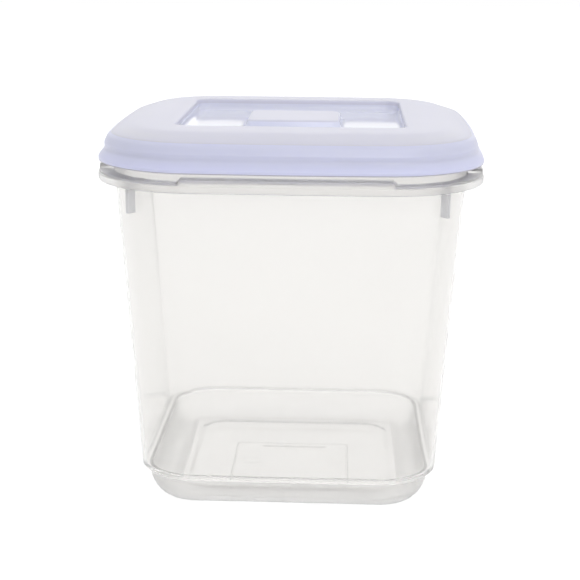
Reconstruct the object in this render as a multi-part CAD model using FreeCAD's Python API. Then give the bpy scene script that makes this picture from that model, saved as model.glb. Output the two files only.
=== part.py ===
import FreeCAD, Part
import math, os

# Square food canister: a tapered tub with a press-on lid and a soft ring in the lid.
# Millimetres. +Z is up, the front is -Y, and the origin is the middle of the foot's lowest face.
# A half-width runs from the middle axis to the middle of a side.

# Tub wall
WALL = 1.8
SHOULDER_Z = 17.0
SHOULDER_HALF = 80.4
SHOULDER_CORNER = 33.0
TOP_Z = 175.0
TOP_HALF = 91.0
TOP_CORNER = 40.0
NECK_HEIGHT = 14.5

# Tub base
SHOULDER_STEP = 4.1
BOWL_CORNER = 27.0
BOWL_DRAW = 12.0
BOWL_STEPS = 6
FLOOR = 2.0
PANEL_INSET = 8.5
PANEL_RISE = 1.2
FRAME_LENGTH = 66.0
FRAME_WIDTH = 59.0
FRAME_OFFSET = -10.5
FRAME_LINE = 1.0
FRAME_CORNER = 3.0
FRAME_HEIGHT = 0.5

# Tub flange and its ribs
FLANGE_REACH = 9.0
FLANGE_CORNER_GROWTH = 13.0
FLANGE_HEIGHT = 4.8
FLANGE_SKIN = 1.5
SIDE_PAD_LENGTH = 106.0
SIDE_PAD_RISE = 1.9
SIDE_PAD_BAND = 3.3
SIDE_PAD_SETBACK = 0.8
RIB_WIDTH = 2.0
RIB_REACH = 5.0
RIB_DROP = 13.0
RIB_ANGLE = 50.0

# Lid shell
LID_WALL = 1.6
LID_GAP = 4.7
LID_OVERHANG = 0.1
LID_CORNER_GROWTH = 14.0
SIDE_BOW = 1.2
LIP_FLARE = 1.1
LIP_HEIGHT = 2.0
LIP_SLOPE = 1.6
SKIRT_HEIGHT = 10.6
SKIRT_LEAN = 3.0
DOME_DRAW = 24.0
DOME_RISE = 8.0
DOME_STEPS = 6

# Well and grip in the lid
WELL_HALF = 59.5
WELL_CORNER = 8.0
WELL_DEPTH = 6.6
GRIP_LENGTH = 49.0
GRIP_WIDTH = 44.0
GRIP_CORNER = 5.0
GRIP_DRAFT = 2.0
GRIP_DROP = 1.7

# Fit of the lid in the tub
PLUG_WALL = 1.6
PLUG_DEPTH = 5.0
PLUG_CLEARANCE = 0.4
SEAL_GAP = 0.3
SEAL_THICK = 1.5
SEAL_OVERLAP = 0.4
SEAL_CLEARANCE = 0.15

RIM_Z = TOP_Z + NECK_HEIGHT
FLANGE_LOW = TOP_Z
FLANGE_TOP = FLANGE_LOW + FLANGE_HEIGHT
FLANGE_HALF = TOP_HALF + FLANGE_REACH
FLANGE_CORNER = TOP_CORNER + FLANGE_CORNER_GROWTH
LID_LOW = FLANGE_TOP + LID_GAP
LID_HALF = FLANGE_HALF + LID_OVERHANG
LID_CORNER = TOP_CORNER + LID_CORNER_GROWTH
DOME_Z = LID_LOW + SKIRT_HEIGHT
DOME_HALF = LID_HALF - SKIRT_LEAN
LID_TOP = DOME_Z + DOME_RISE
WELL_FLOOR = LID_TOP - WELL_DEPTH
SEAT_Z = RIM_Z + SEAL_GAP + SEAL_THICK
UP = FreeCAD.Vector(0, 0, 1)


def turned(x, y, z, quarter):
    """The point x, y, z turned about the axis by some quarter turns."""
    for _ in range(quarter):
        x, y = -y, x
    return FreeCAD.Vector(x, y, z)


def outline(half, corner, z, bow=0.0):
    """Closed wire of a square with round corners, whose side middles stand out by bow."""
    centre = half - corner
    turn = 0.0
    if bow > 0:
        side_radius = ((half - corner) ** 2 + bow**2) / (2 * bow)
        lead = side_radius - half
        centre = (math.sqrt(2 * (side_radius - corner) ** 2 - lead**2) - lead) / 2
        turn = math.atan2(centre, centre + lead)
    near = centre + corner * math.sin(turn)
    far = centre + corner * math.cos(turn)
    middle = centre + corner * math.cos(math.pi / 4)
    edges = []
    for quarter in range(4):
        start = turned(far, near, z, quarter)
        end = turned(near, far, z, quarter)
        following = turned(far, near, z, quarter + 1)
        edges.append(Part.Arc(start, turned(middle, middle, z, quarter), end).toShape())
        if bow > 0:
            edges.append(Part.Arc(end, turned(0, half, z, quarter), following).toShape())
        else:
            edges.append(Part.LineSegment(end, following).toShape())
    return Part.Wire(edges)


def plate(length, width, corner, z):
    """Closed wire of a rectangle with round corners."""
    x = length / 2
    y = width / 2
    cut = corner * (1 - math.cos(math.pi / 4))
    edges = []
    for side_x, side_y in ((1, 1), (-1, 1), (-1, -1), (1, -1)):
        on_x = FreeCAD.Vector(side_x * x, side_y * (y - corner), z)
        on_y = FreeCAD.Vector(side_x * (x - corner), side_y * y, z)
        middle = FreeCAD.Vector(side_x * (x - cut), side_y * (y - cut), z)
        edges.append(Part.Arc(on_x, middle, on_y).toShape())
    for side in (1, -1):
        edges.append(Part.makeLine((x - corner, side * y, z), (corner - x, side * y, z)))
        edges.append(Part.makeLine((side * x, y - corner, z), (side * x, corner - y, z)))
    return Part.Wire(Part.__sortEdges__(edges))


def prism(wire, height):
    return Part.Face(wire).extrude(UP * height)


def loft(wires):
    return Part.makeLoft(wires, True, True)


def taper_share(z):
    """How far up the tapered wall z is; the neck above the flange's foot is upright."""
    return min(1.0, (z - SHOULDER_Z) / (TOP_Z - SHOULDER_Z))


def wall_half(z):
    """Outer half-width of the tub's wall at height z."""
    return SHOULDER_HALF + (TOP_HALF - SHOULDER_HALF) * taper_share(z)


def wall_corner(z):
    return SHOULDER_CORNER + (TOP_CORNER - SHOULDER_CORNER) * taper_share(z)


def wall_outline(z, inset):
    return outline(wall_half(z) - inset, wall_corner(z) - inset, z)


def wall_ring(low, high, outer_inset, inner_inset):
    """Ring that follows the wall's taper, between two insets from its outer face."""
    outer = loft([wall_outline(low, outer_inset), wall_outline(high, outer_inset)])
    inner = loft([wall_outline(low, inner_inset), wall_outline(high, inner_inset)])
    return outer.cut(inner)


def bowl(inset, low):
    """Round-bottomed base under the shoulder, drawn in from its outer face by inset."""
    half = SHOULDER_HALF - SHOULDER_STEP
    sections = []
    for step in range(BOWL_STEPS + 1):
        angle = math.radians(90 * step / BOWL_STEPS)
        drawn = BOWL_DRAW * (1 - math.sin(angle)) + inset
        z = low + (SHOULDER_Z - low) * (1 - math.cos(angle))
        sections.append(outline(half - drawn, BOWL_CORNER - drawn, z))
    return loft(sections)


def make_flange():
    """Ledge round the wall with its edge turned down, and a raised pad along each side."""
    ledge = prism(outline(FLANGE_HALF, FLANGE_CORNER, FLANGE_LOW), FLANGE_HEIGHT)
    hollow_outline = outline(FLANGE_HALF - FLANGE_SKIN, FLANGE_CORNER - FLANGE_SKIN, FLANGE_LOW)
    hollow = prism(hollow_outline, FLANGE_HEIGHT - FLANGE_SKIN)
    flange = ledge.cut(hollow)
    pad_low = FLANGE_TOP + SIDE_PAD_RISE - SIDE_PAD_BAND
    pad_half = FLANGE_HALF - SIDE_PAD_SETBACK
    step_cut = Part.makeBox(SIDE_PAD_LENGTH, FLANGE_REACH, SIDE_PAD_BAND)
    step_cut.translate(FreeCAD.Vector(-SIDE_PAD_LENGTH / 2, pad_half, pad_low))
    pad_reach = pad_half - TOP_HALF
    pad = Part.makeBox(SIDE_PAD_LENGTH, pad_reach, SIDE_PAD_BAND)
    pad.translate(FreeCAD.Vector(-SIDE_PAD_LENGTH / 2, TOP_HALF, pad_low))
    pad_hollow_rise = FLANGE_HEIGHT + SIDE_PAD_RISE - FLANGE_SKIN
    pad_hollow = Part.makeBox(SIDE_PAD_LENGTH - 2 * FLANGE_SKIN, pad_reach - FLANGE_SKIN, pad_hollow_rise)
    pad_hollow.translate(FreeCAD.Vector(-SIDE_PAD_LENGTH / 2 + FLANGE_SKIN, TOP_HALF, FLANGE_LOW))
    for quarter in range(4):
        for tool, adds in ((step_cut, False), (pad, True), (pad_hollow, False)):
            placed = tool.copy()
            placed.rotate(FreeCAD.Vector(), UP, 90 * quarter)
            flange = flange.fuse(placed) if adds else flange.cut(placed)
    return flange


def make_ribs():
    """Upright webs under the flange, one square to each corner's wall and mirrored on both axes."""
    low = FLANGE_LOW - RIB_DROP
    height = RIB_DROP + FLANGE_HEIGHT - FLANGE_SKIN
    centre = wall_half(low) - wall_corner(low)
    rib = Part.makeBox(RIB_REACH + WALL / 2, RIB_WIDTH, height)
    rib.translate(FreeCAD.Vector(wall_corner(low) - WALL / 2, -RIB_WIDTH / 2, low))
    rib.rotate(FreeCAD.Vector(), UP, RIB_ANGLE)
    rib.translate(FreeCAD.Vector(centre, centre, 0))
    pair = [rib, rib.mirror(FreeCAD.Vector(), FreeCAD.Vector(1, 0, 0))]
    return pair + [one.mirror(FreeCAD.Vector(), FreeCAD.Vector(0, 1, 0)) for one in pair]


def make_base_frame():
    """Fine raised rectangle under the base panel."""
    low = PANEL_RISE - FRAME_HEIGHT
    height = FRAME_HEIGHT + FLOOR / 2
    ridge = prism(plate(FRAME_LENGTH, FRAME_WIDTH, FRAME_CORNER, low), height)
    inside_length = FRAME_LENGTH - 2 * FRAME_LINE
    inside_width = FRAME_WIDTH - 2 * FRAME_LINE
    ridge = ridge.cut(prism(plate(inside_length, inside_width, FRAME_CORNER - FRAME_LINE, low), height))
    return ridge.translated(FreeCAD.Vector(0, FRAME_OFFSET, 0))


def make_tub():
    neck = prism(wall_outline(TOP_Z, 0), NECK_HEIGHT)
    mouth = prism(wall_outline(TOP_Z, WALL), NECK_HEIGHT)
    outer_wall = loft([wall_outline(SHOULDER_Z, 0), wall_outline(TOP_Z, 0)])
    foot_half = SHOULDER_HALF - SHOULDER_STEP - BOWL_DRAW
    foot_corner = BOWL_CORNER - BOWL_DRAW
    recess = prism(outline(foot_half - PANEL_INSET, foot_corner - PANEL_INSET / 2, 0), PANEL_RISE)
    inner_wall = loft([wall_outline(SHOULDER_Z + WALL, WALL), wall_outline(TOP_Z, WALL)])
    inner_bowl = bowl(WALL, FLOOR)
    throat = prism(outline(SHOULDER_HALF - SHOULDER_STEP - WALL, BOWL_CORNER - WALL, SHOULDER_Z), WALL)
    panel = prism(outline(foot_half - PANEL_INSET + WALL, foot_corner - PANEL_INSET / 2 + WALL, FLOOR), PANEL_RISE)
    tub = outer_wall.fuse([bowl(0, 0), neck, make_flange()] + make_ribs())
    tub = tub.cut([inner_wall, mouth, inner_bowl, throat])
    tub = tub.fuse(panel).cut(recess)
    return tub.fuse(make_base_frame()).removeSplitter()


def dome_section(inset, angle):
    """One level of the lid's rounded shoulder, from its skirt (0) to its deck (90 degrees)."""
    drawn = (DOME_DRAW - inset) * (1 - math.cos(angle)) + inset
    z = DOME_Z + (DOME_RISE - inset) * math.sin(angle)
    corner = LID_CORNER - SKIRT_LEAN - drawn
    return outline(DOME_HALF - drawn, corner, z, SIDE_BOW)


def dome(inset):
    return [dome_section(inset, math.radians(90 * step / DOME_STEPS)) for step in range(DOME_STEPS + 1)]


def lid_block():
    """The lid's outside as a filled block."""
    lip_top = LID_LOW + LIP_HEIGHT
    skirt_low = lip_top + LIP_SLOPE
    lip = [outline(LID_HALF + LIP_FLARE, LID_CORNER + LIP_FLARE, z, SIDE_BOW) for z in (LID_LOW, lip_top)]
    skirt = outline(LID_HALF, LID_CORNER, skirt_low, SIDE_BOW)
    return loft(lip + [skirt] + dome(0))


def make_lid():
    block = lid_block()
    mouth = outline(LID_HALF - LID_WALL, LID_CORNER - LID_WALL, LID_LOW, SIDE_BOW)
    shell = block.cut(loft([mouth] + dome(LID_WALL)))
    well_low = WELL_FLOOR - LID_WALL
    well_outer = 2 * (WELL_HALF + LID_WALL)
    tray = prism(plate(well_outer, well_outer, WELL_CORNER + LID_WALL, well_low), WELL_DEPTH)
    well = prism(plate(2 * WELL_HALF, 2 * WELL_HALF, WELL_CORNER, WELL_FLOOR), WELL_DEPTH)
    shell = shell.fuse(tray).cut(well)
    foot_length = GRIP_LENGTH + 2 * GRIP_DRAFT
    foot_width = GRIP_WIDTH + 2 * GRIP_DRAFT
    grip_foot = plate(foot_length, foot_width, GRIP_CORNER + GRIP_DRAFT, WELL_FLOOR)
    grip = loft([grip_foot, plate(GRIP_LENGTH, GRIP_WIDTH, GRIP_CORNER, LID_TOP - GRIP_DROP)])
    hollow_length = GRIP_LENGTH - 2 * LID_WALL
    hollow_width = GRIP_WIDTH - 2 * LID_WALL
    hollow_height = WELL_DEPTH - GRIP_DROP
    hollow = prism(plate(hollow_length, hollow_width, GRIP_CORNER - LID_WALL, well_low), hollow_height)
    plug_face = WALL + PLUG_CLEARANCE
    plug = wall_ring(RIM_Z - PLUG_DEPTH, LID_TOP, plug_face, plug_face + PLUG_WALL)
    seat = wall_ring(SEAT_Z, LID_TOP, -SEAL_OVERLAP, plug_face)
    inside = loft([outline(LID_HALF - LID_WALL / 2, LID_CORNER, LID_LOW, SIDE_BOW)] + dome(LID_WALL / 2))
    fittings = plug.fuse(seat).common(inside)
    return shell.fuse([grip, fittings]).cut(hollow).removeSplitter()


def make_seal():
    inner_inset = WALL + PLUG_CLEARANCE - SEAL_CLEARANCE
    return wall_ring(RIM_Z + SEAL_GAP, SEAT_Z, -SEAL_OVERLAP, inner_inset)


PIECES = {"tub": make_tub, "lid": make_lid, "lid_seal": make_seal}

os.makedirs("parts", exist_ok=True)
for name, make in PIECES.items():
    shape = make()
    shape.exportStep("parts/" + name + ".step")
    print(name, "solids", len(shape.Solids), "valid", shape.isValid(), "mm3", round(shape.Volume))
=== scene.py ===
import bpy
import math
from mathutils import Matrix, Vector


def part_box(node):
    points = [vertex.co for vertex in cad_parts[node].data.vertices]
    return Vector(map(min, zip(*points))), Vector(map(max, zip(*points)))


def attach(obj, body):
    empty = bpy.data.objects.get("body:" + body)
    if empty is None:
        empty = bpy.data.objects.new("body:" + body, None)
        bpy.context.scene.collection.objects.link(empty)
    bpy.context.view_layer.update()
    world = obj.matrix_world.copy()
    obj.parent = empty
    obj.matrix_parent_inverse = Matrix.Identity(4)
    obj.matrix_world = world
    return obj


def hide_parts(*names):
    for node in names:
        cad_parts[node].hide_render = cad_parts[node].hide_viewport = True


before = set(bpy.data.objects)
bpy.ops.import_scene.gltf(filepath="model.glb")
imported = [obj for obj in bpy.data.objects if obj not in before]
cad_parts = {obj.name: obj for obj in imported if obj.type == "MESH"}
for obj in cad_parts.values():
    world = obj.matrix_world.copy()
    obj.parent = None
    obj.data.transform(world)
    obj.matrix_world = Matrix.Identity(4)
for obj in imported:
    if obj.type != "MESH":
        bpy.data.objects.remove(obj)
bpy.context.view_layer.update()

# Square food canister: a clear tub, a pale lilac press-on lid and a soft ring inside the lid.
# Lengths are in metres. The front is -Y, and a half-width runs from the axis to a side's middle.
MM = 0.001

# ---------------------------------------------------------------- sizes

TUB_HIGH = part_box("tub")[1]
LID_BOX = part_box("lid")
SEAL_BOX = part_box("lid_seal")

WALL = 1.8 * MM
SHOULDER_Z = 17.0 * MM
SHOULDER_HALF = 80.4 * MM
SHOULDER_CORNER = 33.0 * MM
TOP_Z = 175.0 * MM
TOP_HALF = 91.0 * MM
TOP_CORNER = 40.0 * MM
RIM_Z = TUB_HIGH.z

BOWL_HALF = 76.3 * MM
BOWL_CORNER = 27.0 * MM
BOWL_DRAW = 12.0 * MM
FLOOR = 2.0 * MM
PANEL_HALF = 55.8 * MM
PANEL_CORNER = 10.8 * MM
PANEL_RISE = 1.2 * MM
PANEL_SLOPE = 1.6 * MM
FRAME_X = 33.0 * MM
FRAME_Y = 29.5 * MM
FRAME_OFFSET = -10.5 * MM
FRAME_LINE = 1.0 * MM
FRAME_HEIGHT = 0.5 * MM

MARK_HEIGHT = 0.25 * MM
MARK_CLEAR = 0.03 * MM
MARKS_Y = -11.0 * MM
RING_X = -22.5 * MM
LOOP_X = 26.0 * MM
LINE_MARK_X = 1.0 * MM
LINE_MARK_Y = 12.5 * MM
LINE_MARK_LENGTH = 38.0 * MM
LINE_MARK_WIDTH = 1.6 * MM
RING_RADIUS = 5.0 * MM
RING_SIDES = 40
LOOP_RADIUS = 4.5 * MM
LOOP_SIDES = 3

FLANGE_HALF = TUB_HIGH.x
FLANGE_CORNER = 53.0 * MM
FLANGE_HEIGHT = 4.8 * MM
FLANGE_SKIN = 1.5 * MM
FLANGE_STEP = 0.6 * MM
PAD_HALF_LENGTH = 53.0 * MM
PAD_RISE = 1.9 * MM
PAD_RAMP = 1.0 * MM
PAD_BAND = 3.3 * MM
PAD_FROM = 90.5 * MM
RIB_WIDTH = 2.0 * MM
RIB_REACH = 5.0 * MM
RIB_DROP = 13.0 * MM
RIB_ANGLE = 50.0

LID_LOW = LID_BOX[0].z
DECK_Z = LID_BOX[1].z
LIP_HALF = LID_BOX[1].x
LIP_FLARE = 1.1 * MM
LIP_HEIGHT = 2.0 * MM
LIP_SLOPE = 1.6 * MM
LID_HALF = LIP_HALF - LIP_FLARE
LID_CORNER = 54.0 * MM
LID_WALL = 1.6 * MM
SIDE_BOW = 1.2 * MM
BOW_FROM = 62.0 * MM
BOW_FULL = 90.0 * MM
SIDE_CUTS = (-45, -38, -30, -18, -9, 0, 9, 18, 30, 38, 45)
SKIRT_LEAN = 3.0 * MM
DOME_RISE = 8.0 * MM
DOME_DRAW = 24.0 * MM
DECK_EDGE_HALF = 94.0 * MM
DECK_EDGE_DROP = 4.45 * MM
DECK_LINE_WIDTH = 0.25 * MM
DIP_FROM = 82.0 * MM
DIP_TO = 95.5 * MM
DIP_DEPTH = 0.6 * MM
WELL_HALF = 59.5 * MM
WELL_CORNER = 8.0 * MM
WELL_DEPTH = 6.6 * MM
GRIP_X = 24.5 * MM
GRIP_Y = 22.0 * MM
GRIP_CORNER = 5.0 * MM
GRIP_DRAFT = 1.6 * MM
GRIP_DROP = 1.7 * MM
PLUG_GAP = 0.4 * MM
PLUG_WALL = 1.6 * MM
PLUG_DEPTH = 5.0 * MM
UNDERSIDE_HALF = 88.2 * MM
UNDERSIDE_CORNER = 37.2 * MM
UNDER_DECK_HALF = 78.0 * MM
UNDER_DECK_CORNER = 30.0 * MM
SEAL_OVERLAP = 0.4 * MM
SEAL_Z = SEAL_BOX[0].z
SEAT_Z = SEAL_BOX[1].z

CORNER_CUTS = 14

# ---------------------------------------------------------------- modelling by operators


def deselect():
    bpy.ops.object.select_all(action="DESELECT")


class Section:
    """One level of a moulding: half-widths along X and Y, corner radius, height and edge fillet."""

    def __init__(self, half_x, half_y, corner, z, fillet=0.0):
        self.values = Vector((half_x, half_y, corner, z))
        self.fillet = fillet


def square(half, corner, z, fillet=0.0):
    return Section(half, half, corner, z, fillet)


def soften(sections, steps=4):
    """Turns each section that has a fillet into an arc of sections, tangent to both neighbours."""
    soft = [sections[0]]
    for before, here, after in zip(sections, sections[1:], sections[2:]):
        if here.fillet <= 0:
            soft.append(here)
            continue
        back = before.values - here.values
        ahead = after.values - here.values
        back_length = math.hypot(back[0], back[3])
        ahead_length = math.hypot(ahead[0], ahead[3])
        cosine = -(back[0] * ahead[0] + back[3] * ahead[3]) / (back_length * ahead_length)
        turn = math.acos(max(-1.0, min(1.0, cosine)))
        trim = min(here.fillet * math.tan(turn / 2), 0.48 * back_length, 0.48 * ahead_length)
        start = here.values + back * (trim / back_length)
        end = here.values + ahead * (trim / ahead_length)
        weight = math.cos(turn / 2)
        for step in range(steps + 1):
            s = step / steps
            shares = ((1 - s) ** 2, 2 * weight * s * (1 - s), s**2)
            point = start * shares[0] + here.values * shares[1] + end * shares[2]
            soft.append(Section(*(point / sum(shares))))
    soft.append(sections[-1])
    return soft


def add_outline(section):
    """In edit mode, adds a round-cornered outline and leaves it selected."""
    half_x, half_y, corner, z = section.values
    bpy.ops.mesh.primitive_plane_add(size=2, location=(0, 0, 0))
    bpy.ops.transform.resize(value=(half_x, half_y, 1))
    bpy.ops.transform.translate(value=(0, 0, z))
    bpy.ops.mesh.bevel(offset=corner, segments=CORNER_CUTS, affect="VERTICES")


def add_band(lower, upper):
    """A new object: one band of faces between two outlines."""
    deselect()
    bpy.ops.mesh.primitive_plane_add(size=2, location=(0, 0, 0))
    band = bpy.context.object
    bpy.ops.object.mode_set(mode="EDIT")
    bpy.ops.mesh.select_all(action="SELECT")
    bpy.ops.mesh.delete(type="VERT")
    add_outline(lower)
    bpy.ops.mesh.select_all(action="DESELECT")
    add_outline(upper)
    bpy.ops.mesh.select_all(action="SELECT")
    bpy.ops.mesh.delete(type="ONLY_FACE")
    bpy.ops.mesh.select_all(action="SELECT")
    bpy.ops.mesh.bridge_edge_loops()
    bpy.ops.object.mode_set(mode="OBJECT")
    return band


def join(pieces, name):
    deselect()
    for piece in pieces:
        piece.select_set(True)
    bpy.context.view_layer.objects.active = pieces[0]
    bpy.ops.object.join()
    joined = bpy.context.object
    joined.name = name
    joined.data.name = name
    return joined


def loft(name, sections, ring=False):
    """A moulding through all the sections, closed by flat caps at both ends, or into a ring."""
    pairs = list(zip(sections, sections[1:]))
    if ring:
        pairs.append((sections[-1], sections[0]))
    piece = join([add_band(lower, upper) for lower, upper in pairs], name)
    bpy.ops.object.mode_set(mode="EDIT")
    bpy.ops.mesh.select_all(action="SELECT")
    bpy.ops.mesh.remove_doubles(threshold=0.002 * MM)
    if not ring:
        bpy.ops.mesh.fill_holes(sides=0)
    bpy.ops.mesh.select_all(action="SELECT")
    bpy.ops.mesh.normals_make_consistent(inside=False)
    bpy.ops.object.mode_set(mode="OBJECT")
    return piece


def smooth(piece, degrees):
    deselect()
    piece.select_set(True)
    bpy.context.view_layer.objects.active = piece
    bpy.ops.object.shade_smooth_by_angle(angle=math.radians(degrees))


def finish_piece(piece, body, slot, material, *nodes):
    """Gives a piece its finish, lets it stand for its CAD nodes and lets it ride on its body."""
    piece.data.materials.clear()
    piece.data.materials.append(material)
    if nodes:
        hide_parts(*nodes)
    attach(piece, body)


# ---------------------------------------------------------------- tub


def wall(z, inset=0.0, fillet=0.0):
    """One level of the tapered wall; the neck above the flange's foot is upright."""
    share = min(1.0, (z - SHOULDER_Z) / (TOP_Z - SHOULDER_Z))
    half = SHOULDER_HALF + (TOP_HALF - SHOULDER_HALF) * share
    corner = SHOULDER_CORNER + (TOP_CORNER - SHOULDER_CORNER) * share
    return square(half - inset, corner - inset, z, fillet)


def bowl(inset, low, steps=9):
    """The base's round edge, from its flat foot up to the shoulder."""
    levels = []
    for step in range(steps + 1):
        angle = math.radians(90 * step / steps)
        drawn = BOWL_DRAW * (1 - math.sin(angle)) + inset
        z = low + (SHOULDER_Z - low) * (1 - math.cos(angle))
        levels.append(square(BOWL_HALF - drawn, BOWL_CORNER - drawn, z))
    return levels


def frame_ridge():
    """The fine raised rectangle under the base panel, from its inside to its outside."""
    x, y, line, low = FRAME_X, FRAME_Y, FRAME_LINE, PANEL_RISE - FRAME_HEIGHT
    return [
        Section(x - line, y - line, 2 * line, PANEL_RISE),
        Section(x - line, y - line, 2 * line, low, 0.2 * MM),
        Section(x, y, 3 * line, low, 0.2 * MM),
        Section(x, y, 3 * line, PANEL_RISE, 0.2 * MM),
    ]


def flange():
    """The ledge round the wall, its turned-down edge and the shallow step along its outside."""
    top = TOP_Z + FLANGE_HEIGHT
    under = top - FLANGE_SKIN
    inner_half = FLANGE_HALF - FLANGE_SKIN
    inner_corner = FLANGE_CORNER - FLANGE_SKIN
    step_half = FLANGE_HALF - FLANGE_STEP
    step_corner = FLANGE_CORNER - FLANGE_STEP
    step_z = top + PAD_RISE - PAD_BAND
    return [
        wall(under, 0.0, 0.8 * MM),
        square(inner_half, inner_corner, under, 0.5 * MM),
        square(inner_half, inner_corner, TOP_Z, 0.4 * MM),
        square(FLANGE_HALF, FLANGE_CORNER, TOP_Z, 0.5 * MM),
        square(FLANGE_HALF, FLANGE_CORNER, step_z, 0.2 * MM),
        square(step_half, step_corner, step_z + 0.2 * MM, 0.15 * MM),
        square(step_half, step_corner, top, 0.5 * MM),
        wall(top, 0.0, 0.8 * MM),
    ]


def move_where(piece, chosen, step):
    """Selects the points whose place is chosen and moves them by one step."""
    bpy.context.view_layer.objects.active = piece
    bpy.ops.object.mode_set(mode="EDIT")
    bpy.ops.mesh.select_mode(type="VERT")
    bpy.ops.mesh.select_all(action="DESELECT")
    bpy.ops.object.mode_set(mode="OBJECT")
    for vertex in piece.data.vertices:
        vertex.select = chosen(vertex.co)
    bpy.ops.object.mode_set(mode="EDIT")
    bpy.ops.transform.translate(value=step)
    bpy.ops.object.mode_set(mode="OBJECT")


def shift_ridge(tub):
    """Moves the raised rectangle under the base towards the front."""

    def on_ridge(place):
        inside = abs(place.x) < FRAME_X + 0.5 * MM and abs(place.y) < FRAME_Y + 0.5 * MM
        return inside and place.z < PANEL_RISE + 0.1 * MM

    move_where(tub, on_ridge, (0, FRAME_OFFSET, 0))


def cut_across_pads(tub):
    """Cuts the flange at both ends of each side's raised pad, so that the pad can stand up."""
    bpy.context.view_layer.objects.active = tub
    bpy.ops.object.mode_set(mode="EDIT")
    bpy.ops.mesh.select_mode(type="FACE")
    for axis in ((1, 0, 0), (0, 1, 0)):
        for sign in (-1, 1):
            for along in (PAD_HALF_LENGTH - PAD_RAMP, PAD_HALF_LENGTH + PAD_RAMP):
                bpy.ops.mesh.select_all(action="DESELECT")
                bpy.ops.object.mode_set(mode="OBJECT")
                for face in tub.data.polygons:
                    reach = max(abs(face.center.x), abs(face.center.y))
                    height = face.center.z - TOP_Z
                    at_flange = -0.5 * MM < height < FLANGE_HEIGHT + 1.5 * MM
                    face.select = reach > PAD_FROM and at_flange
                bpy.ops.object.mode_set(mode="EDIT")
                point = [sign * along * part for part in axis]
                bpy.ops.mesh.bisect(plane_co=point, plane_no=axis, use_fill=False)
    bpy.ops.mesh.select_mode(type="VERT")
    bpy.ops.object.mode_set(mode="OBJECT")


def raise_pads(tub):
    """Lifts the ledge between the cuts; the turned-down edge below it keeps its place."""
    ledge_z = TOP_Z + FLANGE_HEIGHT - FLANGE_SKIN - 0.9 * MM
    step_z = TOP_Z + FLANGE_HEIGHT + PAD_RISE - PAD_BAND + 0.35 * MM
    end = PAD_HALF_LENGTH - PAD_RAMP + 0.01 * MM

    def on_pad(place):
        x, y = abs(place.x), abs(place.y)
        above = place.z > TOP_Z + FLANGE_HEIGHT + 1.0 * MM
        if above or max(x, y) < PAD_FROM or min(x, y) > end:
            return False
        on_ledge = place.z > ledge_z and max(x, y) < FLANGE_HALF - FLANGE_STEP - 0.35 * MM
        return on_ledge or place.z > step_z

    move_where(tub, on_pad, (0, 0, PAD_RISE))


def make_ribs():
    """Upright webs under the flange, one square to each corner's wall, mirrored on both axes."""
    ribs = []
    low = TOP_Z - RIB_DROP
    high = TOP_Z + FLANGE_HEIGHT - FLANGE_SKIN - 0.05 * MM
    centre = TOP_HALF - TOP_CORNER
    reach = TOP_CORNER + 0.05 * MM + RIB_REACH / 2
    lean = math.radians(RIB_ANGLE)
    for side_x, side_y in ((1, 1), (-1, 1), (-1, -1), (1, -1)):
        deselect()
        bpy.ops.mesh.primitive_cube_add(size=1, location=(0, 0, 0))
        rib = bpy.context.object
        bpy.ops.object.mode_set(mode="EDIT")
        bpy.ops.mesh.select_all(action="SELECT")
        bpy.ops.transform.resize(value=(RIB_REACH, RIB_WIDTH, high - low))
        bpy.ops.mesh.bevel(offset=0.4 * MM, segments=3, affect="EDGES")
        bpy.ops.object.mode_set(mode="OBJECT")
        along = (side_x * math.cos(lean), side_y * math.sin(lean))
        x = side_x * centre + reach * along[0]
        y = side_y * centre + reach * along[1]
        rib.rotation_euler = (0, 0, math.atan2(along[1], along[0]))
        rib.location = (x, y, (low + high) / 2)
        bpy.ops.object.transform_apply(location=True, rotation=True)
        ribs.append(rib)
    ribs = join(ribs, "corner_ribs")
    smooth(ribs, 35)
    return ribs


def make_marks():
    """Small plain mould marks under the base panel: a ring, a three-sided loop and a thin line."""
    low = PANEL_RISE - MARK_HEIGHT
    middle = (low + PANEL_RISE) / 2 - MARK_CLEAR
    marks = []
    shapes = ((RING_X, RING_RADIUS, RING_SIDES), (LOOP_X, LOOP_RADIUS, LOOP_SIDES))
    for x, radius, sides in shapes:
        deselect()
        bpy.ops.mesh.primitive_torus_add(
            location=(x, MARKS_Y, middle),
            major_segments=sides,
            minor_segments=10,
            major_radius=radius,
            minor_radius=MARK_HEIGHT / 2,
        )
        mark = bpy.context.object
        bpy.ops.object.transform_apply(location=True)
        marks.append(mark)
    deselect()
    bpy.ops.mesh.primitive_cube_add(size=1, location=(0, 0, 0))
    line = bpy.context.object
    bpy.ops.object.mode_set(mode="EDIT")
    bpy.ops.mesh.select_all(action="SELECT")
    bpy.ops.transform.resize(value=(LINE_MARK_LENGTH, LINE_MARK_WIDTH, MARK_HEIGHT))
    bpy.ops.mesh.bevel(offset=0.1 * MM, segments=2, affect="EDGES")
    bpy.ops.transform.translate(value=(LINE_MARK_X, LINE_MARK_Y, middle))
    bpy.ops.object.mode_set(mode="OBJECT")
    marks.append(line)
    marks = join(marks, "base_marks")
    smooth(marks, 40)
    return marks


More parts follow.
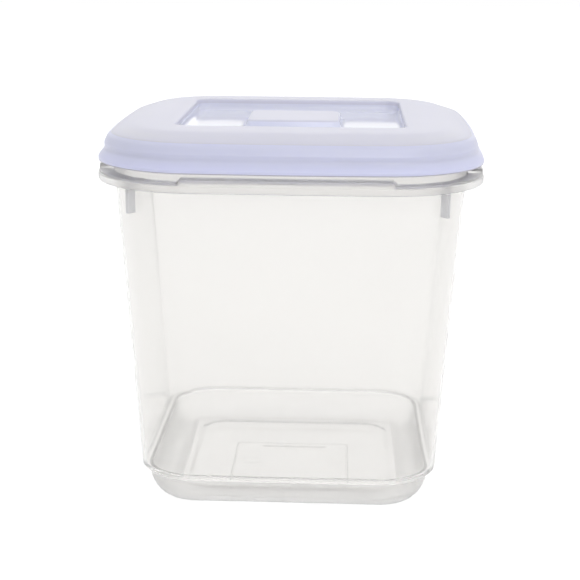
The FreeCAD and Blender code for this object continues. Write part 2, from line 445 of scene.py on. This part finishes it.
def make_tub():
    outside = frame_ridge() + [
        square(PANEL_HALF - PANEL_SLOPE, PANEL_CORNER, PANEL_RISE, 0.8 * MM),
        square(PANEL_HALF + PANEL_SLOPE, PANEL_CORNER + PANEL_SLOPE, 0.0, 0.8 * MM),
    ]
    outside += bowl(0.0, 0.0) + [square(SHOULDER_HALF, SHOULDER_CORNER, SHOULDER_Z, 0.8 * MM)]
    outside += flange() + [wall(RIM_Z, 0.0, 0.6 * MM)]
    inside_shoulder = SHOULDER_Z + WALL
    inside = [
        wall(RIM_Z, WALL, 0.6 * MM),
        wall(TOP_Z, WALL, 8.0 * MM),
        wall(inside_shoulder, WALL, 1.5 * MM),
        square(BOWL_HALF - WALL, BOWL_CORNER - WALL, inside_shoulder, 1.2 * MM),
    ]
    inside += list(reversed(bowl(WALL, FLOOR)))
    inside += [
        square(PANEL_HALF + PANEL_SLOPE, PANEL_CORNER + PANEL_SLOPE, FLOOR, 0.8 * MM),
        square(PANEL_HALF - PANEL_SLOPE, PANEL_CORNER, FLOOR + PANEL_RISE, 0.8 * MM),
        square(PANEL_HALF - 2 * WALL, PANEL_CORNER - WALL, FLOOR + PANEL_RISE),
    ]
    tub = loft("tub_shell", soften(outside + inside))
    shift_ridge(tub)
    cut_across_pads(tub)
    raise_pads(tub)
    smooth(tub, 35)
    return tub


# ---------------------------------------------------------------- lid


def dome(inset, from_angle, to_angle, steps):
    """Levels of the lid's rounded shoulder, with a shallow dip inside its edge band."""
    levels = []
    for step in range(steps + 1):
        angle = math.radians(from_angle + (to_angle - from_angle) * step / steps)
        drawn = (DOME_DRAW - inset) * (1 - math.cos(angle)) + inset
        half = LID_HALF - SKIRT_LEAN - drawn
        share = (half - DIP_FROM) / (DIP_TO - DIP_FROM)
        dip = DIP_DEPTH * math.sin(math.pi * share) if 0 < share < 1 else 0.0
        z = DECK_Z - DOME_RISE + (DOME_RISE - inset) * math.sin(angle) - dip
        levels.append(square(half, LID_CORNER - SKIRT_LEAN - drawn, z))
    return levels


def deck_line(levels):
    """Sinks a hairline groove into the levels where the matte deck ends."""
    grooved = []
    width = DECK_LINE_WIDTH
    for inner, outer in zip(levels, levels[1:]):
        grooved.append(inner)
        if inner.values[0] < DECK_EDGE_HALF <= outer.values[0]:
            share = (DECK_EDGE_HALF - inner.values[0]) / (outer.values[0] - inner.values[0])
            middle = inner.values.lerp(outer.values, share)
            for offset, sunk in ((-width, 0), (0, width / 2), (width, 0)):
                half, corner = middle[0] + offset, middle[2] + offset
                grooved.append(square(half, corner, middle[3] - sunk))
    grooved.append(levels[-1])
    return grooved


def well_and_grip():
    """From the middle of the grip's top, down into the well and up to the deck."""
    floor = DECK_Z - WELL_DEPTH
    top = DECK_Z - GRIP_DROP
    foot = GRIP_DRAFT
    return [
        Section(GRIP_X - 5 * MM, GRIP_Y - 5 * MM, GRIP_CORNER - 2 * MM, top),
        Section(GRIP_X, GRIP_Y, GRIP_CORNER, top, 1.4 * MM),
        Section(GRIP_X + foot, GRIP_Y + foot, GRIP_CORNER + foot, floor, 3.2 * MM),
        Section(GRIP_X + 8 * MM, GRIP_Y + 8 * MM, GRIP_CORNER + 6 * MM, floor),
        square(WELL_HALF - 7 * MM, WELL_CORNER - 4 * MM, floor),
        square(WELL_HALF - 0.5 * MM, WELL_CORNER - 0.5 * MM, floor, 3.5 * MM),
        square(WELL_HALF, WELL_CORNER, DECK_Z, 1.2 * MM),
        square(WELL_HALF + 5 * MM, WELL_CORNER + 6 * MM, DECK_Z),
    ]


def skirt_and_lip():
    """From the shoulder's ridge down the slightly hollow skirt to the flared lip, outside only."""
    lip_top = LID_LOW + LIP_HEIGHT
    skirt_low = lip_top + LIP_SLOPE
    ridge_half = LID_HALF - 2.1 * MM
    ridge_z = DECK_Z - 9.5 * MM
    hollow_half = LID_HALF - 2.2 * MM
    return [
        square(ridge_half, ridge_half - LID_HALF + LID_CORNER, ridge_z, 1.0 * MM),
        square(hollow_half, hollow_half - LID_HALF + LID_CORNER, ridge_z - 2.9 * MM, 3.0 * MM),
        square(LID_HALF, LID_CORNER, skirt_low, 0.8 * MM),
        square(LIP_HALF, LID_CORNER + LIP_FLARE, lip_top, 0.7 * MM),
        square(LIP_HALF, LID_CORNER + LIP_FLARE, LID_LOW, 0.5 * MM),
        square(LID_HALF - LID_WALL, LID_CORNER - LID_WALL, LID_LOW, 0.5 * MM),
    ]


def under_grip(walls, corner, z, fillet=0.0):
    """One level of the hollow grip, a number of wall thicknesses inside its outline."""
    inset = walls * LID_WALL
    return Section(GRIP_X - inset, GRIP_Y - inset, corner, z, fillet)


def lid_underside():
    """The seat and plug that fit the tub's rim, then the undersides of deck, well and grip."""
    plug_face = WALL + PLUG_GAP
    plug_low = RIM_Z - PLUG_DEPTH
    under_deck = DECK_Z - LID_WALL
    under_well = DECK_Z - WELL_DEPTH - LID_WALL
    outer_well = WELL_HALF + LID_WALL
    seat_top = under_deck - 6.0 * MM
    return [
        wall(seat_top, -SEAL_OVERLAP),
        wall(SEAT_Z, -SEAL_OVERLAP),
        wall(SEAT_Z, plug_face),
        wall(plug_low, plug_face, 0.4 * MM),
        wall(plug_low, plug_face + PLUG_WALL, 0.4 * MM),
        square(UNDERSIDE_HALF, UNDERSIDE_CORNER, under_deck - 1.8 * MM, 1.0 * MM),
        square(UNDER_DECK_HALF, UNDER_DECK_CORNER, under_deck, 1.0 * MM),
        square(outer_well, WELL_CORNER + LID_WALL, under_deck, 0.8 * MM),
        square(outer_well, WELL_CORNER + LID_WALL, under_well, 2.5 * MM),
        under_grip(1, GRIP_CORNER - LID_WALL, under_well, 0.8 * MM),
        under_grip(2, 2 * MM, under_deck - GRIP_DROP, 0.8 * MM),
        under_grip(6, 1 * MM, under_deck - GRIP_DROP),
    ]


def cut_sides(lid):
    """Adds edges across the lid's straight sides, so that they can follow a slow curve."""
    bpy.context.view_layer.objects.active = lid
    bpy.ops.object.mode_set(mode="EDIT")
    for place in SIDE_CUTS:
        for axis in ((1, 0, 0), (0, 1, 0)):
            point = [place * MM * part for part in axis]
            bpy.ops.mesh.select_all(action="SELECT")
            bpy.ops.mesh.bisect(plane_co=point, plane_no=axis, use_fill=False)
    bpy.ops.object.mode_set(mode="OBJECT")


def bow_sides(lid):
    """Draws the lid's corners in, so that each side bows out; the well stays square."""
    straight = LIP_HALF - LID_CORNER
    places = [vertex.co.copy() for vertex in lid.data.vertices]
    bpy.context.view_layer.objects.active = lid
    for axis, across, direction in ((0, 1, "X"), (1, 0, "Y")):
        for sign in (-1, 1):
            side = lid.vertex_groups.new(name="side")
            for index, place in enumerate(places):
                share = min(1.0, (sign * place[axis] - BOW_FROM) / (BOW_FULL - BOW_FROM))
                if share > 0:
                    drawn = share * min(1.0, abs(place[across]) / straight) ** 2
                    side.add([index], drawn, "REPLACE")
            draw = lid.modifiers.new("draw", "DISPLACE")
            draw.direction = direction
            draw.mid_level = 0.0
            draw.strength = -sign * SIDE_BOW
            draw.vertex_group = side.name
            bpy.ops.object.modifier_apply(modifier=draw.name)
            lid.vertex_groups.clear()


def make_lid():
    top = well_and_grip() + deck_line(dome(0.0, 90, 12, 20))
    under = dome(LID_WALL, 0, 26, 4)
    lid = loft("lid_shell", soften(top + skirt_and_lip() + under + lid_underside()))
    cut_sides(lid)
    bow_sides(lid)
    smooth(lid, 40)
    return lid


def make_seal():
    inner = WALL + PLUG_GAP - 0.15 * MM
    middle = (SEAL_Z + SEAT_Z) / 2
    levels = [
        wall(middle, -SEAL_OVERLAP),
        wall(SEAT_Z, -SEAL_OVERLAP, 0.3 * MM),
        wall(SEAT_Z, inner, 0.3 * MM),
        wall(SEAL_Z, inner, 0.5 * MM),
        wall(SEAL_Z, -SEAL_OVERLAP, 0.5 * MM),
        wall(middle - 0.1 * MM, -SEAL_OVERLAP),
    ]
    seal = loft("seal_ring", soften(levels), ring=True)
    smooth(seal, 40)
    return seal


# ---------------------------------------------------------------- materials

# The deck tint is the lid's lilac greyed as a painted sheen on the matte deck and grip.
DECK_PAINTED_SHEEN_TINT = (0.600, 0.600, 0.695, 1)
SKIRT_TINT = (0.600, 0.615, 0.825, 1)
# The well tint is the lilac made lighter as painted light, brightening the recess.
WELL_PAINTED_LIGHT_TINT = (0.71, 0.725, 0.86, 1)
# The lip tint is a painted shade along the lid's lower edge.
LIP_PAINTED_SHADE_TINT = (0.36, 0.34, 0.41, 1)
TUB_TINT = (0.965, 0.958, 0.945, 1)
RIB_TINT = (0.86, 0.86, 0.875, 1)
SEAL_TINT = (0.78, 0.78, 0.80, 1)
WELL_ROUGHNESS = 0.07
FROST = 0.22


def new_material(name):
    material = bpy.data.materials.new(name)
    material.use_nodes = True
    nodes = material.node_tree.nodes
    nodes.clear()
    output = nodes.new("ShaderNodeOutputMaterial")
    shader = nodes.new("ShaderNodeBsdfPrincipled")
    material.node_tree.links.new(shader.outputs["BSDF"], output.inputs["Surface"])
    return material, shader


def math_node(tree, operation, first, second=None, clamp=False):
    node = tree.nodes.new("ShaderNodeMath")
    node.operation = operation
    node.use_clamp = clamp
    for socket, value in zip(node.inputs, (first, second)):
        if value is None:
            continue
        if isinstance(value, (int, float)):
            socket.default_value = value
        else:
            tree.links.new(value, socket)
    return node.outputs[0]


def make_grain_group():
    """Moulded grain: a fine height and a slow, slight change of a value between Low and High."""
    group = bpy.data.node_groups.new("moulded_grain", "ShaderNodeTree")
    for name, default in (("Fine scale", 900.0), ("Slow scale", 18.0), ("Low", 0.3), ("High", 0.4)):
        socket = group.interface.new_socket(name, in_out="INPUT", socket_type="NodeSocketFloat")
        socket.default_value = default
    group.interface.new_socket("Height", in_out="OUTPUT", socket_type="NodeSocketFloat")
    group.interface.new_socket("Value", in_out="OUTPUT", socket_type="NodeSocketFloat")
    inputs = group.nodes.new("NodeGroupInput")
    outputs = group.nodes.new("NodeGroupOutput")
    place = group.nodes.new("ShaderNodeTexCoord")
    fine = group.nodes.new("ShaderNodeTexNoise")
    fine.inputs["Detail"].default_value = 2.0
    slow = group.nodes.new("ShaderNodeTexNoise")
    slow.inputs["Detail"].default_value = 3.0
    spread = group.nodes.new("ShaderNodeMapRange")
    link = group.links.new
    for noise, scale in ((fine, "Fine scale"), (slow, "Slow scale")):
        link(place.outputs["Object"], noise.inputs["Vector"])
        link(inputs.outputs[scale], noise.inputs["Scale"])
    spread.inputs["From Min"].default_value = 0.2
    spread.inputs["From Max"].default_value = 0.8
    link(slow.outputs["Fac"], spread.inputs["Value"])
    link(inputs.outputs["Low"], spread.inputs["To Min"])
    link(inputs.outputs["High"], spread.inputs["To Max"])
    link(fine.outputs["Fac"], outputs.inputs["Height"])
    link(spread.outputs["Result"], outputs.inputs["Value"])
    return group


def add_grain(material, group, fine, slow, low, high):
    node = material.node_tree.nodes.new("ShaderNodeGroup")
    node.node_tree = group
    for name, value in (("Fine scale", fine), ("Slow scale", slow), ("Low", low), ("High", high)):
        node.inputs[name].default_value = value
    return node


def add_bump(material, height, strength, distance, shader):
    bump = material.node_tree.nodes.new("ShaderNodeBump")
    bump.inputs["Strength"].default_value = strength
    bump.inputs["Distance"].default_value = distance
    material.node_tree.links.new(height, bump.inputs["Height"])
    material.node_tree.links.new(bump.outputs["Normal"], shader.inputs["Normal"])


def read_place(tree):
    """The place on the object: its X, Y and Z, and how far it lies from the upright axis."""
    place = tree.nodes.new("ShaderNodeTexCoord")
    parts = tree.nodes.new("ShaderNodeSeparateXYZ")
    tree.links.new(place.outputs["Object"], parts.inputs["Vector"])
    reach_x = math_node(tree, "ABSOLUTE", parts.outputs["X"])
    reach_y = math_node(tree, "ABSOLUTE", parts.outputs["Y"])
    return parts, math_node(tree, "MAXIMUM", reach_x, reach_y)


def mix_colours(tree, factor, first, second):
    """Two colours mixed by a factor that changes over the surface; first may be a socket."""
    node = tree.nodes.new("ShaderNodeMix")
    node.data_type = "RGBA"
    node.inputs["B"].default_value = second
    tree.links.new(factor, node.inputs["Factor"])
    if isinstance(first, tuple):
        node.inputs["A"].default_value = first
    else:
        tree.links.new(first, node.inputs["A"])
    return node.outputs["Result"]


def make_lid_plastic(grain_group):
    """Pale lilac: matte grain on the deck and grip, polished in the well, satin on the skirt, with
    a painted sheen greying the deck and grip, painted light brightening the well and a painted
    shade band along the lip's lower edge.
    """
    material, shader = new_material("lilac_lid_plastic")
    tree = material.node_tree
    link = tree.links.new
    parts, reach = read_place(tree)
    inside_well = math_node(tree, "LESS_THAN", reach, WELL_HALF + 0.3 * MM)
    below_deck = math_node(tree, "LESS_THAN", parts.outputs["Z"], DECK_Z - GRIP_DROP - 0.8 * MM)
    well_polish_and_painted_light = math_node(tree, "MULTIPLY", inside_well, below_deck)
    outside = math_node(tree, "SUBTRACT", 1.0, inside_well)
    under_edge = math_node(tree, "LESS_THAN", parts.outputs["Z"], DECK_Z - DECK_EDGE_DROP)
    on_skirt = math_node(tree, "MULTIPLY", outside, under_edge)
    deck_grain = add_grain(material, grain_group, 1500.0, 14.0, 0.40, 0.46)
    skirt_grain = add_grain(material, grain_group, 600.0, 22.0, 0.30, 0.36)
    rough = tree.nodes.new("ShaderNodeMix")
    link(on_skirt, rough.inputs["Factor"])
    link(deck_grain.outputs["Value"], rough.inputs["A"])
    link(skirt_grain.outputs["Value"], rough.inputs["B"])
    gloss = tree.nodes.new("ShaderNodeMix")
    link(well_polish_and_painted_light, gloss.inputs["Factor"])
    link(rough.outputs["Result"], gloss.inputs["A"])
    gloss.inputs["B"].default_value = WELL_ROUGHNESS
    link(gloss.outputs["Result"], shader.inputs["Roughness"])
    smooth_share = math_node(tree, "MAXIMUM", well_polish_and_painted_light, on_skirt)
    matte_share = math_node(tree, "SUBTRACT", 1.0, smooth_share)
    height = math_node(tree, "MULTIPLY", deck_grain.outputs["Height"], matte_share)
    add_bump(material, height, 0.5, 0.03 * MM, shader)
    cloud = add_grain(material, grain_group, 40.0, 5.0, -0.06, 0.06)
    share = math_node(tree, "ADD", smooth_share, cloud.outputs["Value"], clamp=True)
    # Painted sheen: the matte deck and grip take the greyed tint, the skirt takes the lid's own
    # lilac.
    tint = mix_colours(tree, share, DECK_PAINTED_SHEEN_TINT, SKIRT_TINT)
    # Painted light: the well's polished faces take the lighter tint; the same mask also sets their
    # real gloss.
    in_well = mix_colours(tree, well_polish_and_painted_light, tint, WELL_PAINTED_LIGHT_TINT)
    # Painted shade: a thin dark band just above the lid's lower edge.
    above_underside = math_node(tree, "GREATER_THAN", parts.outputs["Z"], LID_LOW + 0.1 * MM)
    low_band = math_node(tree, "LESS_THAN", parts.outputs["Z"], LID_LOW + 0.55 * MM)
    lip_painted_shade = math_node(tree, "MULTIPLY", above_underside, low_band)
    link(mix_colours(tree, lip_painted_shade, in_well, LIP_PAINTED_SHADE_TINT), shader.inputs["Base Color"])
    shader.inputs["IOR"].default_value = 1.49
    shader.inputs["Subsurface Weight"].default_value = 0.7
    shader.inputs["Subsurface Radius"].default_value = (1.0, 1.0, 1.15)
    shader.inputs["Subsurface Scale"].default_value = 5.0 * MM
    return material


def make_tub_plastic(name, grain_group, clear, tint, low, high):
    """Natural polypropylene: clear with a slight haze, frosted round the base and the flange."""
    material, shader = new_material(name)
    tree = material.node_tree
    grain = add_grain(material, grain_group, 260.0, 12.0, low, high)
    parts, reach = read_place(tree)
    beside_panel = math_node(tree, "GREATER_THAN", reach, PANEL_HALF + 3 * PANEL_SLOPE)
    in_bowl = math_node(tree, "LESS_THAN", parts.outputs["Z"], SHOULDER_Z - 0.5 * MM)
    bowl_side = math_node(tree, "MULTIPLY", beside_panel, in_bowl)
    over_foot = math_node(tree, "GREATER_THAN", parts.outputs["Z"], TOP_Z - 1.0 * MM)
    pads_top = TOP_Z + FLANGE_HEIGHT + PAD_RISE
    under_top = math_node(tree, "LESS_THAN", parts.outputs["Z"], pads_top + 1.0 * MM)
    on_flange = math_node(tree, "MULTIPLY", over_foot, under_top)
    frosted = math_node(tree, "MAXIMUM", bowl_side, on_flange)
    added = math_node(tree, "MULTIPLY", frosted, FROST)
    rough = math_node(tree, "ADD", grain.outputs["Value"], added)
    tree.links.new(rough, shader.inputs["Roughness"])
    shader.inputs["Base Color"].default_value = tint
    shader.inputs["IOR"].default_value = 1.35
    shader.inputs["Transmission Weight"].default_value = clear
    return material


def make_seal_rubber(grain_group):
    """Soft pale ring with a dusty sheen."""
    material, shader = new_material("soft_seal_rubber")
    tree = material.node_tree
    grain = add_grain(material, grain_group, 700.0, 30.0, 0.45, 0.6)
    tree.links.new(grain.outputs["Value"], shader.inputs["Roughness"])
    add_bump(material, grain.outputs["Height"], 0.3, 0.02 * MM, shader)
    shader.inputs["Base Color"].default_value = SEAL_TINT
    return material


grain_group = make_grain_group()
lid_plastic = make_lid_plastic(grain_group)
tub_plastic = make_tub_plastic("natural_tub_plastic", grain_group, 0.88, TUB_TINT, 0.055, 0.08)
rib_plastic = make_tub_plastic("thick_tub_plastic", grain_group, 0.55, RIB_TINT, 0.12, 0.2)
seal_rubber = make_seal_rubber(grain_group)

finish_piece(make_tub(), "tub", "tub_plastic", tub_plastic, "tub")
finish_piece(make_ribs(), "tub", "tub_plastic", rib_plastic)
finish_piece(make_marks(), "tub", "tub_plastic", tub_plastic)
finish_piece(make_lid(), "lid", "lid_plastic", lid_plastic, "lid")
finish_piece(make_seal(), "lid", "seal_rubber", seal_rubber, "lid_seal")

# ---------------------------------------------------------------- floor, light and camera

FLOOR_GLOW = 0.85
FLOOR_DIM = 0.4
FRONT_DIM = 0.70
LOW_DIM = 0.70
HIGH_DIM = 0.95
GLOSSY_GAIN = 0.4
CAMERA_TURN = 2.315
CAMERA_RISE = 14.689
CAMERA_ROLL = 0.448
CAMERA_DISTANCE = 0.75128
CAMERA_LENS = 81.70
AIM_RIGHT = -0.001715
AIM_HEIGHT = 0.101696


def make_floor():
    deselect()
    bpy.ops.mesh.primitive_plane_add(size=12, location=(0, 0, 0))
    floor = bpy.context.object
    floor.name = "floor"
    material, shader = new_material("pale_floor")
    shader.inputs["Base Color"].default_value = (0.3, 0.3, 0.3, 1)
    shader.inputs["Roughness"].default_value = 0.9
    shader.inputs["Emission Color"].default_value = (1, 1, 1, 1)
    seen = material.node_tree.nodes.new("ShaderNodeLightPath")
    dimmed = math_node(material.node_tree, "MULTIPLY", seen.outputs["Is Diffuse Ray"], FLOOR_DIM)
    glow = math_node(material.node_tree, "SUBTRACT", FLOOR_GLOW, dimmed)
    material.node_tree.links.new(glow, shader.inputs["Emission Strength"])
    floor.data.materials.append(material)
    floor.location.z = -0.2 * MM


def make_sky():
    """White behind and above, and a dim room on the front side that the clear plastic mirrors."""
    world = bpy.data.worlds.new("white_surround")
    bpy.context.scene.world = world
    world.use_nodes = True
    tree = world.node_tree
    background = tree.nodes["Background"]
    background.inputs["Color"].default_value = (1, 1, 1, 1)
    place = tree.nodes.new("ShaderNodeTexCoord")
    parts = tree.nodes.new("ShaderNodeSeparateXYZ")
    tree.links.new(place.outputs["Generated"], parts.inputs["Vector"])
    fade = tree.nodes.new("ShaderNodeMapRange")
    fade.interpolation_type = "SMOOTHSTEP"
    fade.inputs["From Min"].default_value = -0.75
    fade.inputs["From Max"].default_value = 0.1
    tree.links.new(parts.outputs["Y"], fade.inputs["Value"])
    fade.inputs["To Min"].default_value = FRONT_DIM
    seen = tree.nodes.new("ShaderNodeLightPath")
    rise = tree.nodes.new("ShaderNodeMapRange")
    rise.inputs["To Min"].default_value = LOW_DIM
    rise.inputs["To Max"].default_value = HIGH_DIM
    tree.links.new(parts.outputs["Z"], rise.inputs["Value"])
    even = math_node(tree, "MULTIPLY", fade.outputs["Result"], rise.outputs["Result"])
    gain = math_node(tree, "MULTIPLY", seen.outputs["Is Glossy Ray"], GLOSSY_GAIN)
    gain = math_node(tree, "ADD", gain, 1.0)
    studio = math_node(tree, "MULTIPLY", even, gain)
    straight = math_node(
        tree, "MAXIMUM", seen.outputs["Is Camera Ray"], seen.outputs["Is Transmission Ray"]
    )
    level = tree.nodes.new("ShaderNodeMix")
    level.inputs["B"].default_value = 1.0
    tree.links.new(straight, level.inputs["Factor"])
    tree.links.new(studio, level.inputs["A"])
    tree.links.new(level.outputs["Result"], background.inputs["Strength"])


def make_softbox(name, place, size, watts):
    light = bpy.data.lights.new(name, "AREA")
    light.shape = "RECTANGLE"
    light.size, light.size_y = size
    light.energy = watts
    lamp = bpy.data.objects.new(name, light)
    bpy.context.scene.collection.objects.link(lamp)
    aim = Vector((0, 0, 0.1)) - Vector(place)
    lamp.location = place
    lamp.rotation_euler = aim.to_track_quat("-Z", "Y").to_euler()


def make_camera():
    turn = math.radians(CAMERA_TURN)
    rise = math.radians(CAMERA_RISE)
    roll = math.radians(CAMERA_ROLL)
    right = Vector((math.cos(turn), math.sin(turn), 0))
    level = math.cos(rise)
    back = Vector((math.sin(turn) * level, -math.cos(turn) * level, math.sin(rise)))
    up = back.cross(right)
    target = right * AIM_RIGHT + Vector((0, 0, AIM_HEIGHT))
    rolled_right = right * math.cos(roll) + up * math.sin(roll)
    rolled_up = up * math.cos(roll) - right * math.sin(roll)
    data = bpy.data.cameras.new("camera")
    data.lens = CAMERA_LENS
    data.sensor_width = 36.0
    camera = bpy.data.objects.new("camera", data)
    bpy.context.scene.collection.objects.link(camera)
    columns = Matrix((rolled_right, rolled_up, back)).transposed().to_4x4()
    camera.matrix_world = Matrix.Translation(target + back * CAMERA_DISTANCE) @ columns
    bpy.context.scene.camera = camera


make_floor()
make_sky()
make_softbox("softbox_front", (0.4, -1.1, 0.95), (0.9, 0.9), 6)
make_softbox("softbox_back", (0.0, 2.2, 0.85), (2.4, 0.7), 3)
make_camera()
bpy.context.scene.view_settings.view_transform = "Standard"
